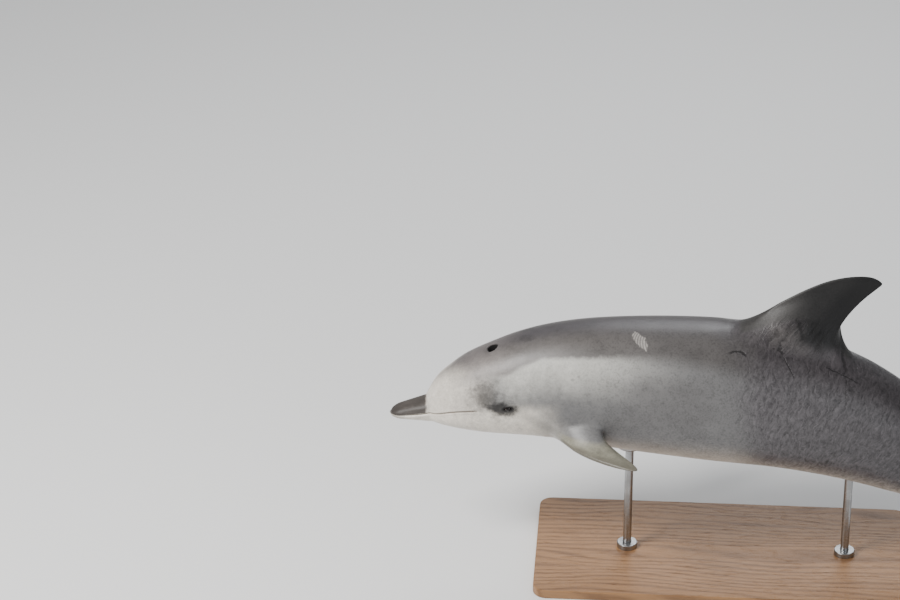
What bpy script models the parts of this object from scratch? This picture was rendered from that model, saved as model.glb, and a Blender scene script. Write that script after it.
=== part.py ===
"""Bottlenose dolphin, life size, arched as it breaks the surface, on a plain display stand.

Metres, +Z up. The beak points along -X, the tail along +X, and the left flank faces -Y.
The origin is the centre of the stand's underside. A station is a distance along the spine as a
fraction of the body's length: 0 at the beak's tip and 1 at the notch between the flukes.
Every half width, height and outline below is also a fraction of that length.
"""
import math

import bmesh
import bpy
import numpy as np

LENGTH = 2.70             # beak tip to fluke notch, along the spine
GAP = 0.0003              # clearance that touching pieces keep
SPINE_HEIGHT = 0.62       # spine above the floor over the middle of the stand
STAND_STATION = 0.42      # station over the middle of the stand

# Spine: station, slope in degrees (positive climbs towards the tail)
SPINE_SLOPE = [(0.0, 11.5), (0.06, 10), (0.12, 10.5), (0.16, 11.5), (0.2, 7), (0.3, 0.2), (0.4, -4),
               (0.5, -11.5), (0.6, -24), (0.7, -25), (0.8, -21), (0.88, -15), (0.94, -9), (1.0, -6)]

# Body sections: station, height above the spine, depth below it, half width
BODY_SECTIONS = [
    (0.120, 0.0674, 0.0338, 0.0515),
    (0.150, 0.0752, 0.0408, 0.0570),
    (0.190, 0.0842, 0.0503, 0.0615),
    (0.240, 0.0912, 0.0610, 0.0675),
    (0.300, 0.0948, 0.0698, 0.0730),
    (0.420, 0.0989, 0.0765, 0.0775),
    (0.540, 0.0876, 0.0705, 0.0700),
    (0.660, 0.0648, 0.0562, 0.0500),
    (0.780, 0.0440, 0.0400, 0.0295),
    (0.890, 0.0270, 0.0260, 0.0155),
    (0.930, 0.0190, 0.0185, 0.0115),
    (0.960, 0.0110, 0.0105, 0.0085),
    (0.985, 0.0045, 0.0045, 0.0055),
    (1.000, 0.0008, 0.0008, 0.0011),
]

# Head: the melon rises steeply from the beak, and the throat runs on from the lower jaw
BEAK_END = 0.047
BEAK_TIP_LENGTH = 0.014
BEAK_HALF_WIDTH = (0.0110, 0.0190)     # at the tip and at the melon
UPPER_JAW_HEIGHT = (0.0048, 0.0128)
LOWER_JAW_DEPTH = (0.0068, 0.0165)
UPPER_JAW_SETBACK = 0.002              # the lower jaw is a little longer
MELON_START = 0.0455
MELON_HEIGHT = [(0.046, 0.004), (0.0496, 0.0175), (0.0538, 0.0240), (0.0613, 0.0334), (0.0673, 0.0395),
                (0.0838, 0.0507), (0.101, 0.0604), (0.120, 0.0674), (0.150, 0.0752)]
CHEEK_HALF_WIDTH = [(0.046, 0.004), (0.050, 0.0165), (0.056, 0.0235), (0.066, 0.0320), (0.082, 0.0400),
                    (0.100, 0.0465), (0.120, 0.0515), (0.150, 0.0570)]
THROAT_DEPTH = [(0.047, 0.0165), (0.060, 0.0184), (0.080, 0.0230), (0.100, 0.0283), (0.120, 0.0338),
                (0.150, 0.0408)]
CREASE_WIDTH = 0.004                   # smooth blend between beak and melon

# Mouth line: station, angle above the horizontal as seen along the spine
MOUTH_ANGLE = [(0.0, -4), (0.03, -4), (0.05, 1.5), (0.066, 9), (0.086, 13.5), (0.1145, 13.8)]
MOUTH_END = 0.1145

EYE_STATION = 0.1535
EYE_ANGLE = 13.5
EYE_RADIUS = 0.0150
EYE_DEPTH = 0.0128                     # its centre below the skin
BLOWHOLE_STATION = 0.143
BLOWHOLE_HALF_SIZE = (0.0160, 0.0210, 0.0110)

# Fin outlines from the root's front end round the tip to its rear end: chordwise, spanwise
DORSAL_STATIONS = (0.413, 0.545)
DORSAL_OUTLINE = [(0, 0), (0.0416, 0.0452), (0.0910, 0.0922), (0.1290, 0.1102), (0.1455, 0.1112),
                  (0.1540, 0.1066), (0.1462, 0.0985), (0.1262, 0.0780), (0.1206, 0.0540), (0.1234, 0.0350),
                  (0.1315, 0.0200), (0.1523, 0)]
DORSAL_THICKNESS = 0.105               # of its chord
FLIPPER_STATIONS = (0.203, 0.265)
FLIPPER_ROOT_ANGLE = (-28, -26)       # round the body, at the root's two ends
FLIPPER_OUTLINE = [(0, 0), (0.0345, 0.0355), (0.0840, 0.0635), (0.1190, 0.0715), (0.1192, 0.0660),
                   (0.0905, 0.0335), (0.0620, 0)]
FLIPPER_THICKNESS = 0.15
FLIPPER_DROOP = 1.0                    # degrees below the horizontal
FLUKE_STATIONS = (0.920, 1.0)
FLUKE_OUTLINE = [(0, 0.0105), (0.027, 0.0470), (0.070, 0.0955), (0.0965, 0.1165), (0.0965, 0.1095),
                 (0.083, 0.058), (0.0850, 0.014), (0.0790, 0.0001)]
FLUKE_THICKNESS = 0.095
FIN_EDGE = 0.0021                      # least half thickness, at the trailing edges
FIN_FLARE = 0.018                      # extra half thickness where a fin grows out of the body
FIN_FLARE_REACH = 0.030

# Stand
BASE_SIZE = (1.26, 0.60, 0.030)
BASE_CORNER = 0.045
BASE_EDGE = 0.004
ROD_STATIONS = (0.30, 0.575)
ROD_RADIUS = 0.0140
COLLAR_RADIUS = 0.034
COLLAR_HEIGHT = 0.018
SADDLE_RADIUS = 0.052
SADDLE_HEIGHT = 0.040

# Body pieces: name, first and last station, number of rings
TRUNK_PIECES = [
    ("neck", 0.175, 0.200, 3),
    ("chest", 0.200, 0.310, 7),
    ("trunk_front", 0.310, 0.420, 7),
    ("trunk_middle", 0.420, 0.550, 8),
    ("trunk_rear", 0.550, 0.680, 6),
    ("tail_stock_front", 0.680, 0.810, 7),
    ("tail_stock_rear", 0.810, 0.920, 5),
    ("tail_end", 0.920, 0.997, 7),
]
RING_STEPS = 16                        # spaces up one side of a ring
FLOOR_STEPS = 4                        # spaces across the flat of a jaw
FIN_CHORD_STEPS = 7
FIN_SPAN_STEPS = 11
TURN_STEPS = 24


# ---- numbers

def spline(x, knots):
    """Natural cubic through the knots, held level beyond its ends."""
    knots = np.array(knots, float)
    knot_x, knot_y = knots[:, 0], knots[:, 1]
    width = np.diff(knot_x)
    inner = np.arange(1, len(knots) - 1)
    system = np.eye(len(knots))
    system[inner, inner - 1] = width[:-1]
    system[inner, inner] = 2 * (width[:-1] + width[1:])
    system[inner, inner + 1] = width[1:]
    target = np.zeros(len(knots))
    target[1:-1] = 6 * np.diff(np.diff(knot_y) / width)
    bend = np.linalg.solve(system, target)
    x = np.clip(np.asarray(x, float), knot_x[0], knot_x[-1])
    left = np.clip(np.searchsorted(knot_x, x) - 1, 0, len(knots) - 2)
    h = width[left]
    before, after = knot_x[left + 1] - x, x - knot_x[left]
    curve = (bend[left] * before**3 + bend[left + 1] * after**3) / (6 * h)
    line = (knot_y[left] / h - bend[left] * h / 6) * before + (knot_y[left + 1] / h - bend[left + 1] * h / 6) * after
    return curve + line


def ramp(x, start, end):
    """0 before start, 1 after end, smooth between."""
    t = np.clip((x - start) / (end - start), 0, 1)
    return t * t * (3 - 2 * t)


def smooth_max(a, b, width):
    h = np.clip(0.5 + 0.5 * (a - b) / width, 0, 1)
    return b + (a - b) * h + width * h * (1 - h)


def superellipse(angle, half_width, half_height, power):
    """Radius at an angle of an oval whose power above 2 makes it squarer and below 2 keener."""
    across = np.abs(np.cos(angle) / half_width) ** power
    upright = np.abs(np.sin(angle) / half_height) ** power
    return (across + upright) ** (-1 / power)


# ---- the body's axis and sections

def trace_spine():
    """Stations with the slope, x and z of the spine there, found by adding up small steps."""
    station = np.linspace(0, 1.02, 2041)
    slope = np.radians(spline(station, SPINE_SLOPE))
    middle = (slope[1:] + slope[:-1]) / 2
    x = np.concatenate([[0], np.cumsum(np.cos(middle) * np.diff(station))]) * LENGTH
    z = np.concatenate([[0], np.cumsum(np.sin(middle) * np.diff(station))]) * LENGTH
    x -= np.interp(STAND_STATION, station, x)
    z += SPINE_HEIGHT - np.interp(STAND_STATION, station, z)
    return station, slope, x, z


SPINE = trace_spine()


def spine_frame(station):
    """Centre of the section at a station, and the direction there away from the belly."""
    slope = np.interp(station, SPINE[0], SPINE[1])
    x = np.interp(station, SPINE[0], SPINE[2])
    z = np.interp(station, SPINE[0], SPINE[3])
    centre = np.stack([x, 0 * x, z], -1)
    upward = np.stack([-np.sin(slope), 0 * x, np.cos(slope)], -1)
    return centre, upward


def rounded_tip(distance, length):
    """Grows from 0 to 1 along a quarter of an ellipse."""
    return np.sqrt(np.clip(1 - (1 - np.clip(distance / length, 0, 1)) ** 2, 0, 1)) + 1e-3


def behind_melon_front(station, knots):
    """Spline in the root of the distance behind the melon's front, so that it starts upright."""
    rooted = [(math.sqrt(knot[0] - MELON_START), knot[1]) for knot in knots]
    return spline(np.sqrt(np.maximum(station - MELON_START, 0)), rooted) * (station > MELON_START) + 1e-4


def section_column(station, head, column):
    """A size of the head up to station 0.12, turning into the body's size from there to 0.15."""
    trunk = spline(station, [(row[0], row[column]) for row in BODY_SECTIONS])
    return head + (trunk - head) * ramp(station, 0.12, 0.15)


def body_radius(station, angle):
    """Distance from the spine to the skin, at an angle up from the horizontal."""
    along = np.clip(station / BEAK_END, 0, 1)
    inside_head = 1 - 0.999 * ramp(station, 0.08, 0.20)
    tip = rounded_tip(station, BEAK_TIP_LENGTH) * inside_head
    upper_tip = rounded_tip(station - UPPER_JAW_SETBACK, BEAK_TIP_LENGTH - UPPER_JAW_SETBACK) * inside_head
    beak_width = (BEAK_HALF_WIDTH[0] + (BEAK_HALF_WIDTH[1] - BEAK_HALF_WIDTH[0]) * along) * tip
    beak_height = (UPPER_JAW_HEIGHT[0] + (UPPER_JAW_HEIGHT[1] - UPPER_JAW_HEIGHT[0]) * along) * upper_tip
    jaw_depth = (LOWER_JAW_DEPTH[0] + (LOWER_JAW_DEPTH[1] - LOWER_JAW_DEPTH[0]) * along) * tip
    head_width = section_column(station, behind_melon_front(station, CHEEK_HALF_WIDTH), 3)
    head_height = section_column(station, behind_melon_front(station, MELON_HEIGHT), 1)
    throat = section_column(station, spline(station, THROAT_DEPTH), 2)
    depth = np.where(station < BEAK_END, jaw_depth, throat)

    keel = ramp(station, 0.6, 0.8)
    on_head = ramp(station, MELON_START - 0.001, MELON_START + 0.003)
    beak = superellipse(angle, beak_width, beak_height, 2.5)
    head = superellipse(angle, head_width, head_height, 2.15 - 0.40 * keel)
    above = beak + on_head * (smooth_max(beak, head, CREASE_WIDTH) - beak)
    width = beak_width + on_head * (smooth_max(beak_width, head_width, CREASE_WIDTH) - beak_width)
    belly_power = 2.45 - 0.25 * ramp(station, 0.05, 0.15) - 0.45 * keel
    below = superellipse(angle, width, depth, belly_power)
    return np.where(angle >= 0, above, below) * LENGTH


def skin_points(station, angle, grow=0.0):
    """Points on the right flank: stations down the rows, angles (radians) along them."""
    centre, upward = spine_frame(station)
    radius = body_radius(np.broadcast_to(station[:, None], angle.shape), angle) + grow
    points = centre[:, None] + upward[:, None] * (radius * np.sin(angle))[..., None]
    points[..., 1] = radius * np.cos(angle)
    return points


def mirrored(points):
    return points * np.array([1.0, -1.0, 1.0])


def full_rings(station, grow=0.0):
    """Whole rings: up the right flank from the belly and down the left one."""
    angle = np.broadcast_to(np.linspace(-math.pi / 2, math.pi / 2, RING_STEPS + 1), (len(station), RING_STEPS + 1))
    right = skin_points(station, angle, grow)
    return np.concatenate([right, mirrored(right[:, RING_STEPS - 1:0:-1])], 1)


def jaw_rings(station, upper):
    """Rings closed by a flat at the mouth line, over it (upper) or under it."""
    mouth = np.radians(spline(station, MOUTH_ANGLE))
    side = 1 if upper else -1
    start = mouth + side * GAP / 2 / body_radius(station, mouth)
    step = np.linspace(0, 1, RING_STEPS // 2 + 2)
    angle = start[:, None] + (side * math.pi / 2 - start)[:, None] * step
    right = skin_points(station, angle)
    left = mirrored(right[:, -2::-1])
    across = np.linspace(0, 1, FLOOR_STEPS + 1)[1:-1, None]
    flat = left[:, -1:] + (right[:, :1] - left[:, -1:]) * across
    return np.concatenate([right, left, flat], 1)


# ---- objects

def new_collection(name):
    collection = bpy.data.collections.new(name)
    bpy.context.scene.collection.children.link(collection)
    return collection


def make_material(name, colour, roughness, metallic=0.0):
    material = bpy.data.materials.new(name)
    material.use_nodes = True
    principled = material.node_tree.nodes["Principled BSDF"]
    principled.inputs["Base Color"].default_value = (*colour, 1.0)
    principled.inputs["Roughness"].default_value = roughness
    principled.inputs["Metallic"].default_value = metallic
    return material


def add_object(name, work, material, collection, smooth_angle=40):
    """Turns a bmesh into an object of its own."""
    mesh = bpy.data.meshes.new(name)
    work.to_mesh(mesh)
    work.free()
    thing = bpy.data.objects.new(name, mesh)
    collection.objects.link(thing)
    if material is None:
        thing.hide_render = True
        thing.display_type = "WIRE"
    else:
        mesh.materials.append(material)
        mesh.shade_smooth()
        mesh.set_sharp_from_angle(angle=math.radians(smooth_angle))
    return thing


def loft(name, rings, material, collection):
    """Closed solid through rings of equally many points, with a flat cap at each end.

    The diagonals mirror from one half of the ring to the other, and are the same on every loft, so
    that a piece and the cutter that trims its neighbour have the same facets.
    """
    count, around = rings.shape[:2]
    work = bmesh.new()
    corners = [[work.verts.new(point) for point in ring] for ring in rings]
    for front, rear in zip(corners[:-1], corners[1:]):
        for k in range(around):
            after = (k + 1) % around
            near, far = (k, after) if k < around // 2 else (after, k)
            work.faces.new((front[near], front[far], rear[near]))
            work.faces.new((front[far], rear[far], rear[near]))
    caps = [work.faces.new(corners[0]), work.faces.new(corners[-1])]
    bmesh.ops.triangulate(work, faces=caps)
    bmesh.ops.recalc_face_normals(work, faces=work.faces[:])
    return add_object(name, work, material, collection)


def cut(thing, cutter, operation="DIFFERENCE"):
    modifier = thing.modifiers.new(cutter.name, "BOOLEAN")
    modifier.operation = operation
    modifier.solver = "EXACT"
    modifier.object = cutter


def ball(name, centre, half_sizes, turn, material, collection, segments=16):
    work = bmesh.new()
    bmesh.ops.create_uvsphere(work, u_segments=segments, v_segments=segments // 2, radius=1.0)
    bmesh.ops.scale(work, vec=half_sizes, verts=work.verts)
    thing = add_object(name, work, material, collection)
    thing.location = centre
    thing.rotation_euler = (0, turn, 0)
    return thing


def turned(name, profile, centre, material, collection):
    """A ring turned about a vertical axis: the profile runs down its outside and up its bore."""
    work = bmesh.new()
    corners = [work.verts.new((radius, 0, height)) for radius, height in profile]
    for k, corner in enumerate(corners):
        work.edges.new((corner, corners[(k + 1) % len(corners)]))
    thing = add_object(name, work, material, collection)
    thing.location = centre
    screw = thing.modifiers.new("turn", "SCREW")
    screw.steps = screw.render_steps = TURN_STEPS
    screw.use_merge_vertices = True
    screw.merge_threshold = 0.00001
    return thing


# ---- fins

def smooth_outline(points, samples=600):
    """Spline through an outline's points, spaced by the root of the distance between them."""
    points = np.array(points, float)
    stride = np.sqrt(np.linalg.norm(np.diff(points, axis=0), axis=1))
    along = np.concatenate([[0], np.cumsum(stride)]) / stride.sum()
    at = np.linspace(0, 1, samples)
    return np.stack([spline(at, np.stack([along, points[:, axis]], 1)) for axis in (0, 1)], 1)


def fin_edges(outline, span):
    """Chordwise place of the leading and trailing edge at each span."""
    curve = smooth_outline(outline)
    tip = int(np.argmax(curve[:, 1]))
    leading, trailing = curve[:tip + 1], curve[tip:][::-1]
    return [np.interp(span, edge[:, 1], edge[:, 0]) for edge in (leading, trailing)]


def wing_half_thickness(x):
    """Half thickness of a symmetric wing section, blunt in front and tapering behind."""
    return 5 * (0.2969 * np.sqrt(x) - 0.1260 * x - 0.3516 * x**2 + 0.2843 * x**3 - 0.1036 * x**4)


def fin_rings(outline, thickness, origin, chordwise, spanwise, inner, flare=FIN_FLARE):
    """Wing sections from inside the body (span inner, below 0) out to the tip."""
    outward = np.sin(np.linspace(0, 0.985 * math.pi / 2, FIN_SPAN_STEPS + 1))
    tip = max(point[1] for point in outline)
    start = max(inner, 0.0)
    span = start + (tip - start) * outward
    leading, trailing = fin_edges(outline, span)
    if inner < 0:
        span = np.concatenate([[inner], span])
        leading, trailing = [np.concatenate([edge[:1], edge]) for edge in (leading, trailing)]
    chord = (trailing - leading) * LENGTH
    x = (1 - np.cos(np.linspace(0, math.pi, FIN_CHORD_STEPS + 1)[1:])) / 2
    half = np.maximum(thickness * chord[:, None] * wing_half_thickness(x), FIN_EDGE)
    fairing = flare * np.exp(-np.maximum(span, 0) * LENGTH / FIN_FLARE_REACH)
    half = np.hypot(half, fairing[:, None] * np.sqrt(4 * x * (1 - x)))
    half = np.minimum(half, chord[:, None] * 0.3)
    normal = np.cross(chordwise, spanwise)
    base = origin + span[:, None] * LENGTH * spanwise + leading[:, None] * LENGTH * chordwise
    middle = base[:, None] + (chord[:, None] * x)[..., None] * chordwise
    upper = middle + half[..., None] * normal
    lower = (middle - half[..., None] * normal)[:, ::-1]
    return np.concatenate([base[:, None], upper, lower], 1)


def unit(vector):
    return vector / np.linalg.norm(vector)


def stretched(outline, root):
    """The outline drawn out evenly so that its root chord has the given length."""
    factor = root / LENGTH / outline[-1][0]
    return [(x * factor, y * factor) for x, y in outline]


def dorsal_rings():
    ends = skin_points(np.array(DORSAL_STATIONS), np.full((2, 1), math.pi / 2))[:, 0]
    chordwise = unit(ends[1] - ends[0])
    upward = np.array([-chordwise[2], 0, chordwise[0]])
    outline = stretched(DORSAL_OUTLINE, np.linalg.norm(ends[1] - ends[0]))
    return fin_rings(outline, DORSAL_THICKNESS, ends[0], chordwise, upward, -0.010)


def flipper_rings():
    angle = np.radians(np.array(FLIPPER_ROOT_ANGLE, float))[:, None]
    ends = skin_points(np.array(FLIPPER_STATIONS), angle)[:, 0]
    chordwise = unit(ends[1] - ends[0])
    droop = math.radians(FLIPPER_DROOP)
    outward = np.array([0, math.cos(droop), -math.sin(droop)])
    outward = unit(outward - chordwise * (outward @ chordwise))
    outline = stretched(FLIPPER_OUTLINE, np.linalg.norm(ends[1] - ends[0]))
    return fin_rings(outline, FLIPPER_THICKNESS, ends[0], chordwise, outward, -0.012)


def fluke_rings():
    front, notch = spine_frame(np.array(FLUKE_STATIONS))[0]
    chordwise = unit(notch - front)
    outward = np.array([0, 1.0, 0])
    outline = stretched(FLUKE_OUTLINE, np.linalg.norm(notch - front))
    return fin_rings(outline, FLUKE_THICKNESS, front, chordwise, outward, GAP / 2 / LENGTH, flare=0.0)


# ---- the model

def piece_stations(start, end, count):
    """Ring stations of one body piece, half a gap short of its neighbours at each end."""
    station = np.linspace(start, end, count)
    station[0] += GAP / 2 / LENGTH
    station[-1] -= GAP / 2 / LENGTH
    return station


def make_trunk(materials, collection):
    for name, start, end, count in TRUNK_PIECES:
        loft(name, full_rings(piece_stations(start, end, count)), materials["skin_grey"], collection)


def make_head(materials, collection, cutters):
    """Beak, melon and lower jaw parted at the mouth line, and the head behind them with its eyes."""
    beak = 0.0006 + (0.0465 - 0.0006) * np.linspace(0, 1, 9) ** 1.4
    beak[-1] -= GAP / 2 / LENGTH
    loft("beak_upper", jaw_rings(beak, upper=True), materials["skin_dark"], collection)
    melon = 0.0465 + (MOUTH_END - 0.0465) * np.linspace(0, 1, 12) ** 1.6
    melon[0] += GAP / 2 / LENGTH
    melon[-1] -= GAP / 2 / LENGTH
    loft("melon", jaw_rings(melon, upper=True), materials["skin_grey"], collection)
    lower = np.concatenate([beak[:-1], melon])
    loft("jaw_lower", jaw_rings(lower, upper=False), materials["skin_pale"], collection)
    head = loft("head", full_rings(piece_stations(MOUTH_END, 0.175, 7)), materials["skin_grey"], collection)

    eye_place = np.array([EYE_STATION])
    angle = np.array([[math.radians(EYE_ANGLE)]])
    surface = skin_points(eye_place, angle)[0, 0]
    deeper = skin_points(eye_place, angle, grow=-EYE_DEPTH)[0, 0]
    for name, centre in (("eye_right", deeper), ("eye_left", mirrored(deeper))):
        socket = ball(name + "_socket", centre, [EYE_RADIUS + GAP] * 3, 0, None, cutters)
        cut(head, socket)
        ball(name, centre, [EYE_RADIUS] * 3, 0, materials["eye"], collection)

    crown = skin_points(np.array([BLOWHOLE_STATION]), np.array([[math.pi / 2]]))[0, 0]
    slope = np.interp(BLOWHOLE_STATION, SPINE[0], SPINE[1])
    cut(head, ball("blowhole", crown, BLOWHOLE_HALF_SIZE, -slope - 0.25, None, cutters))


def make_body_cutter(cutters):
    """The whole body behind the head, larger by the gap: it trims what meets the skin."""
    parts = [np.linspace(start, end, count) for name, start, end, count in TRUNK_PIECES]
    return loft("body_outline", full_rings(np.unique(np.concatenate(parts)), GAP), None, cutters)


def make_fins(materials, collection, body_cutter):
    cut(loft("dorsal_fin", dorsal_rings(), materials["skin_dark"], collection), body_cutter)
    flipper, fluke = flipper_rings(), fluke_rings()
    for side, place in (("right", lambda points: points), ("left", mirrored)):
        cut(loft("flipper_" + side, place(flipper), materials["skin_pale"], collection), body_cutter)
        cut(loft("fluke_" + side, place(fluke), materials["skin_dark"], collection), body_cutter)


def make_base(materials, collection):
    """Flat slab with round corners and a small rounding on its rims."""
    work = bmesh.new()
    bmesh.ops.create_cube(work, size=1.0)
    bmesh.ops.scale(work, vec=BASE_SIZE, verts=work.verts)
    bmesh.ops.translate(work, vec=(0, 0, BASE_SIZE[2] / 2), verts=work.verts)
    upright = [edge for edge in work.edges if abs(edge.verts[0].co.z - edge.verts[1].co.z) > 0.001]
    bmesh.ops.bevel(work, geom=upright, offset=BASE_CORNER, segments=6, profile=0.5, affect="EDGES")
    base = add_object("stand_base", work, materials["stand_wood"], collection)
    rim = base.modifiers.new("rim", "BEVEL")
    rim.width = BASE_EDGE
    rim.segments = 2
    rim.limit_method = "ANGLE"
    rim.angle_limit = math.radians(60)


def make_support(name, station, materials, collection, body_cutter):
    """A rod from the base to the belly, with a collar at its foot and a saddle at its head."""
    x = float(np.interp(station, SPINE[0], SPINE[2]))
    slope = np.interp(station, SPINE[0], SPINE[1])
    belly = skin_points(np.array([station + 0.012 * math.sin(slope)]), np.array([[-math.pi / 2]]))[0, 0, 2]
    floor = BASE_SIZE[2] + GAP
    top = belly + 0.05
    work = bmesh.new()
    bmesh.ops.create_cone(work, cap_ends=True, segments=TURN_STEPS, radius1=ROD_RADIUS, radius2=ROD_RADIUS, depth=top - floor)
    rod = add_object("stand_rod_" + name, work, materials["stand_steel"], collection)
    rod.location = (x, 0, (top + floor) / 2)
    cut(rod, body_cutter)
    bore = ROD_RADIUS + GAP
    chamfer = 0.003
    collar = [(COLLAR_RADIUS - chamfer, COLLAR_HEIGHT), (COLLAR_RADIUS, COLLAR_HEIGHT - chamfer),
              (COLLAR_RADIUS, 0), (bore, 0), (bore, COLLAR_HEIGHT)]
    turned("stand_collar_" + name, collar, (x, 0, floor), materials["stand_steel"], collection)
    saddle = [(SADDLE_RADIUS, SADDLE_HEIGHT), (SADDLE_RADIUS, 0), (SADDLE_RADIUS - 0.006, -0.006),
              (bore + 0.008, -0.020), (bore, -0.020), (bore, SADDLE_HEIGHT)]
    cut(turned("stand_saddle_" + name, saddle, (x, 0, belly - 0.012), materials["stand_steel"], collection), body_cutter)


def main():
    for thing in list(bpy.data.objects):
        bpy.data.objects.remove(thing)
    collection = new_collection("bottlenose_dolphin")
    cutters = new_collection("cutters")
    materials = {
        "skin_grey": make_material("skin_grey", (0.200, 0.200, 0.215), 0.35),
        "skin_dark": make_material("skin_dark", (0.060, 0.057, 0.058), 0.35),
        "skin_pale": make_material("skin_pale", (0.520, 0.500, 0.470), 0.35),
        "eye": make_material("eye", (0.015, 0.012, 0.010), 0.08),
        "stand_wood": make_material("stand_wood", (0.060, 0.036, 0.024), 0.40),
        "stand_steel": make_material("stand_steel", (0.560, 0.560, 0.570), 0.30, 1.0),
    }
    make_head(materials, collection, cutters)
    make_trunk(materials, collection)
    body_cutter = make_body_cutter(cutters)
    make_fins(materials, collection, body_cutter)
    make_base(materials, collection)
    for name, station in zip(("front", "rear"), ROD_STATIONS):
        make_support(name, station, materials, collection, body_cutter)


main()
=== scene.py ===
"""Life-size bottlenose dolphin model on a plain display stand, in a pale studio.

Metres, +Z up. The beak points along -X, the tail along +X, and the left flank faces -Y. A station is a
distance along the spine as a fraction of the body's length: 0 at the beak's tip, 1 at the fluke notch.
An angle goes round the body from -90 degrees at the belly, by 0 on the flank, to 90 on the back.
"""
import math

import bpy
import numpy as np
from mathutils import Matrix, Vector
from mathutils.bvhtree import BVHTree


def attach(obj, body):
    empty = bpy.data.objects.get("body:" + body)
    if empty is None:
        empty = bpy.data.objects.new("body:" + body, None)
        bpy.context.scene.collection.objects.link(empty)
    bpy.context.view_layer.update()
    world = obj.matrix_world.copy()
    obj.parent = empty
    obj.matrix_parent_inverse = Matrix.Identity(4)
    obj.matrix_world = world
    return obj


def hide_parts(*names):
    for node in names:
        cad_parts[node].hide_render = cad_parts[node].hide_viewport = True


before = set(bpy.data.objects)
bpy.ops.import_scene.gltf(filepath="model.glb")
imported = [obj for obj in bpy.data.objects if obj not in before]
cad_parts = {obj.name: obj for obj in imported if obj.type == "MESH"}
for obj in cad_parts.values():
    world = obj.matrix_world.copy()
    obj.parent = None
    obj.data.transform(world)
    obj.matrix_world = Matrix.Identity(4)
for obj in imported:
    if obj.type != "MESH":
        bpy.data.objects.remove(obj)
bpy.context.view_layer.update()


# ---- Skin
# The animal's hide: one smooth, rubbery, wet-looking skin over head, trunk, fins and flukes, with no
# seam. It is a grid of rings along the curved spine. The fins are drawn out of the grid's own
# columns, and the right half is mirrored to the left.

LENGTH = 2.70  # beak tip to fluke notch, along the spine
SPINE_HEIGHT = 0.62  # spine above the floor over the middle of the stand
STAND_STATION = 0.42  # the spine's station there
# Station, and degrees by which the spine climbs towards the tail
SPINE_SLOPE = [(0.0, 11.5), (0.06, 10), (0.12, 10.5), (0.16, 11.5), (0.2, 7), (0.3, 0.2), (0.4, -4),
               (0.5, -11.5), (0.6, -24), (0.7, -25), (0.8, -21), (0.88, -15), (0.94, -9), (1.0, -6)]

# Body sections as fractions of the length: station, height over the spine, depth under it, half width
BODY_SECTIONS = [
    (0.120, 0.0674, 0.0338, 0.0515),
    (0.150, 0.0752, 0.0408, 0.0570),
    (0.190, 0.0842, 0.0503, 0.0615),
    (0.240, 0.0912, 0.0610, 0.0675),
    (0.300, 0.0948, 0.0698, 0.0730),
    (0.420, 0.0989, 0.0765, 0.0775),
    (0.540, 0.0876, 0.0705, 0.0700),
    (0.660, 0.0648, 0.0562, 0.0500),
    (0.780, 0.0440, 0.0400, 0.0295),
    (0.890, 0.0270, 0.0260, 0.0155),
    (0.930, 0.0190, 0.0185, 0.0115),
    (0.960, 0.0110, 0.0105, 0.0085),
    (0.985, 0.0045, 0.0045, 0.0055),
    (1.000, 0.0008, 0.0008, 0.0011),
]
BEAK_END = 0.047
BEAK_TIP_LENGTH = 0.014
BEAK_HALF_WIDTH = (0.0110, 0.0190)  # at the tip and at the melon
UPPER_JAW_HEIGHT = (0.0048, 0.0128)
LOWER_JAW_DEPTH = (0.0068, 0.0165)
UPPER_JAW_SETBACK = 0.0016  # the lower jaw is a little longer
MELON_START = 0.0455
MELON_HEIGHT = [(0.046, 0.004), (0.0496, 0.0175), (0.0538, 0.0240), (0.0613, 0.0334), (0.0673, 0.0395),
                (0.0838, 0.0507), (0.101, 0.0604), (0.120, 0.0674), (0.150, 0.0752)]
CHEEK_HALF_WIDTH = [(0.046, 0.004), (0.050, 0.0165), (0.056, 0.0235), (0.066, 0.0320), (0.082, 0.0400),
                    (0.100, 0.0465), (0.120, 0.0515), (0.150, 0.0570)]
THROAT_DEPTH = [(0.047, 0.0165), (0.060, 0.0184), (0.080, 0.0230), (0.100, 0.0283), (0.120, 0.0338),
                (0.150, 0.0408)]
CREASE_BLEND = 0.0032  # rounds the corner between beak and melon
CREASE_DEPTH, CREASE_HALF_WIDTH = 0.0006, 0.0022
KEEL_BLUNTNESS = 0.022  # of the keels over and under the tail stock
MOUTH_ANGLE = [(0.0, -4), (0.03, -4), (0.05, 1.5), (0.066, 9), (0.086, 13.5), (0.1145, 13.8)]
MOUTH_END = 0.1145
EYE_STATION, EYE_ANGLE = 0.1535, 13.5
EYE_OPENING = (0.0145, 0.0062)  # half length and half height between the lids
BLOWHOLE_STATION = 0.1437
BLOWHOLE_HALF = (0.0195, 0.0180)  # along the back and across it
BLOWHOLE_SIDE = -0.0180  # a little left of the crown, as on the living animal
BLOWHOLE_DEPTH, BLOWHOLE_RIM = 0.030, 0.0018

# Rings: station and the distance in millimetres between rings there, behind the beak's round tip
TIP_RINGS = 18
RING_SPACING = [(0.014, 3.0), (0.040, 3.0), (0.0455, 1.0), (0.052, 1.2), (0.062, 2.6), (0.09, 3.8),
                (0.12, 3.4), (0.135, 1.6), (0.146, 1.1), (0.161, 1.1), (0.167, 1.5), (0.178, 3.4),
                (0.19, 4.2), (0.203, 2.8), (0.265, 2.8), (0.28, 5), (0.33, 13), (0.39, 12), (0.405, 4.5),
                (0.413, 3.9), (0.538, 3.9), (0.55, 6), (0.60, 14), (0.85, 14), (0.90, 6), (0.92, 2.9),
                (1.0, 2.4)]
BELLY_STEPS, BAND_STEPS, FLANK_STEPS, BACK_STEPS = 11, 17, 20, 15
LID_STEPS = 4
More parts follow.
